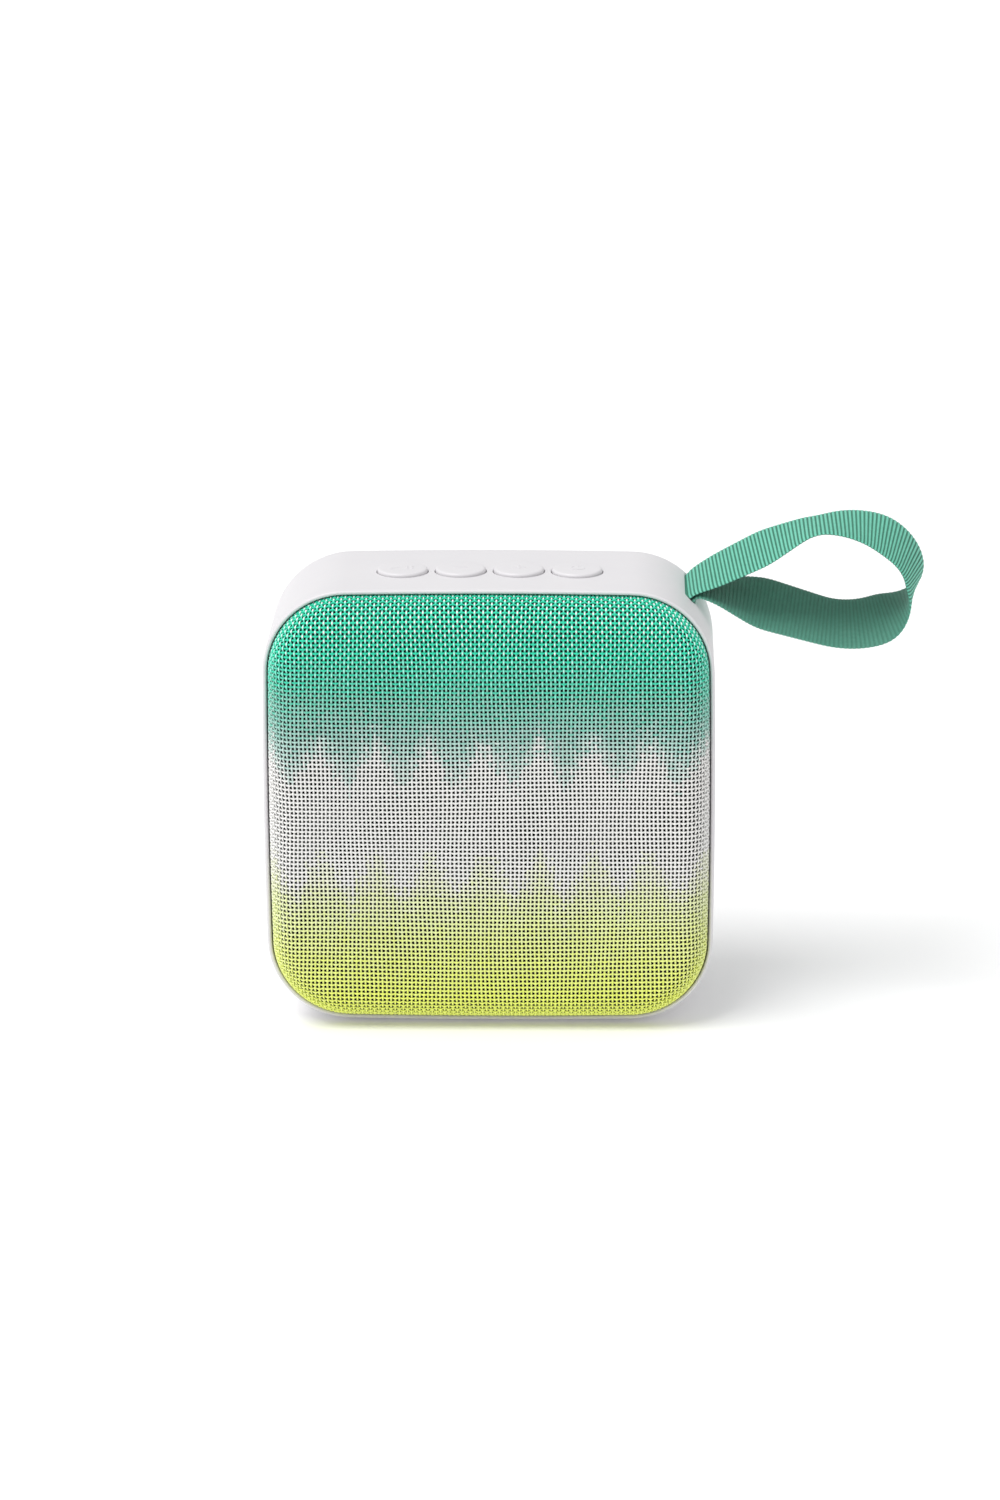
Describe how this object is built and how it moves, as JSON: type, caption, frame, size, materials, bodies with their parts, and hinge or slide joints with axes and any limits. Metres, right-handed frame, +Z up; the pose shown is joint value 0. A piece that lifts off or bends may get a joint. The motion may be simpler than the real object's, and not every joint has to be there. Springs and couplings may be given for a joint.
{
  "type": "portable bluetooth speaker",
  "caption": "Pocket Bluetooth speaker: rounded-square white shell, padded woven fabric front, round buttons on top and a webbing wrist loop in one corner.",
  "frame": {"origin": "centre of the rubber foot's flat underside, on the plane the speaker stands on", "axes": "+X towards the side with the strap, +Y from the fabric front to the back, +Z up"},
  "size_m": [0.1275, 0.043, 0.094],
  "materials": {
    "white_abs": "fine satin moulding texture",
    "black_abs": "satin",
    "grille_fabric": "plain-woven polyester, dyed mint at the top, pale grey in the middle and lime at the bottom",
    "strap_webbing": "ribbed mint webbing",
    "rubber": "matte",
    "foam": "matte",
    "stamped_steel": "plated",
    "ferrite": "matte ceramic",
    "cone_paper": "treated paper",
    "copper": "enamelled wire",
    "circuit_board": "solder mask",
    "chip_epoxy": "moulded epoxy",
    "cell_wrap": null,
    "light_pipe": "clear",
    "red_wire": "insulation",
    "black_wire": "insulation"
  },
  "bodies": {
    "casing": {"rear_shell": "white_abs", "front_baffle": "black_abs", "grille_frame": "black_abs", "aux_jack": "black_abs", "grille_fabric": "grille_fabric", "strap_tail": "strap_webbing", "foot_pad": "rubber", "driver_surround": "rubber", "driver_gasket": "foam", "driver_spider": "foam", "driver_basket": "stamped_steel", "driver_top_plate": "stamped_steel", "driver_yoke": "stamped_steel", "strap_stop_bar": "stamped_steel", "charge_socket": "stamped_steel", "card_socket": "stamped_steel", "microphone": "stamped_steel", "battery_tab_positive": "stamped_steel", "battery_tab_negative": "stamped_steel", "case_screw_bottom_left": "stamped_steel", "case_screw_bottom_right": "stamped_steel", "case_screw_top_left": "stamped_steel", "case_screw_top_right": "stamped_steel", "driver_screw_lower_left": "stamped_steel", "driver_screw_upper_left": "stamped_steel", "driver_screw_lower_right": "stamped_steel", "driver_screw_upper_right": "stamped_steel", "main_board_screw_lower": "stamped_steel", "main_board_screw_upper": "stamped_steel", "driver_magnet": "ferrite", "button_board": "circuit_board", "main_board": "circuit_board", "driver_terminal": "circuit_board", "bluetooth_chip": "chip_epoxy", "amplifier_chip": "chip_epoxy", "board_cable": "chip_epoxy", "play_switch": "chip_epoxy", "volume_down_switch": "chip_epoxy", "volume_up_switch": "chip_epoxy", "power_switch": "chip_epoxy", "battery_cell": "cell_wrap", "led_light_pipe": "light_pipe", "status_led": "light_pipe", "driver_lead_red": "red_wire", "battery_lead_red": "red_wire", "driver_lead_black": "black_wire", "battery_lead_black": "black_wire"},
    "play": {"play_button": "white_abs"},
    "play_plunger": {"play_switch_plunger": "black_abs"},
    "volume_down": {"volume_down_button": "white_abs"},
    "volume_down_plunger": {"volume_down_switch_plunger": "black_abs"},
    "volume_up": {"volume_up_button": "white_abs"},
    "volume_up_plunger": {"volume_up_switch_plunger": "black_abs"},
    "power": {"power_button": "white_abs"},
    "power_plunger": {"power_switch_plunger": "black_abs"},
    "cone": {"driver_cone": "cone_paper", "driver_dust_cap": "cone_paper", "driver_voice_coil": "copper"},
    "strap": {"strap_loop": "strap_webbing"}
  },
  "joints": [
    {"name": "play_press", "type": "slide", "parent": "casing", "child": "play", "axis": [0, 0, -1], "range_m": [0, 0.0004], "stiffness_N_per_m": 40},
    {"name": "volume_down_press", "type": "slide", "parent": "casing", "child": "volume_down", "axis": [0, 0, -1], "range_m": [0, 0.0004], "stiffness_N_per_m": 40},
    {"name": "volume_up_press", "type": "slide", "parent": "casing", "child": "volume_up", "axis": [0, 0, -1], "range_m": [0, 0.0004], "stiffness_N_per_m": 40},
    {"name": "power_press", "type": "slide", "parent": "casing", "child": "power", "axis": [0, 0, -1], "range_m": [0, 0.0004], "stiffness_N_per_m": 40},
    {"name": "play_plunger_press", "type": "slide", "parent": "casing", "child": "play_plunger", "axis": [0, 0, -1], "range_m": [0, 0.0003]},
    {"name": "volume_down_plunger_press", "type": "slide", "parent": "casing", "child": "volume_down_plunger", "axis": [0, 0, -1], "range_m": [0, 0.0003]},
    {"name": "volume_up_plunger_press", "type": "slide", "parent": "casing", "child": "volume_up_plunger", "axis": [0, 0, -1], "range_m": [0, 0.0003]},
    {"name": "power_plunger_press", "type": "slide", "parent": "casing", "child": "power_plunger", "axis": [0, 0, -1], "range_m": [0, 0.0003]},
    {"name": "cone_stroke", "type": "slide", "parent": "casing", "child": "cone", "axis": [0, -1, 0], "range_m": [-0.001, 0.001], "stiffness_N_per_m": 200, "deforming": ["driver_surround", "driver_spider"]},
    {"name": "strap_swing", "type": "hinge", "parent": "casing", "child": "strap", "pos_m": [0.03938, 0.0065, 0.08252], "axis": [0, 1, 0], "range_deg": [-95, 26], "stiffness_Nm_per_rad": 0.004}
  ],
  "couplings": [
    {"joint": "play_plunger_press", "follows": "play_press", "ratio": 0.75},
    {"joint": "volume_down_plunger_press", "follows": "volume_down_press", "ratio": 0.75},
    {"joint": "volume_up_plunger_press", "follows": "volume_up_press", "ratio": 0.75},
    {"joint": "power_plunger_press", "follows": "power_press", "ratio": 0.75}
  ]
}
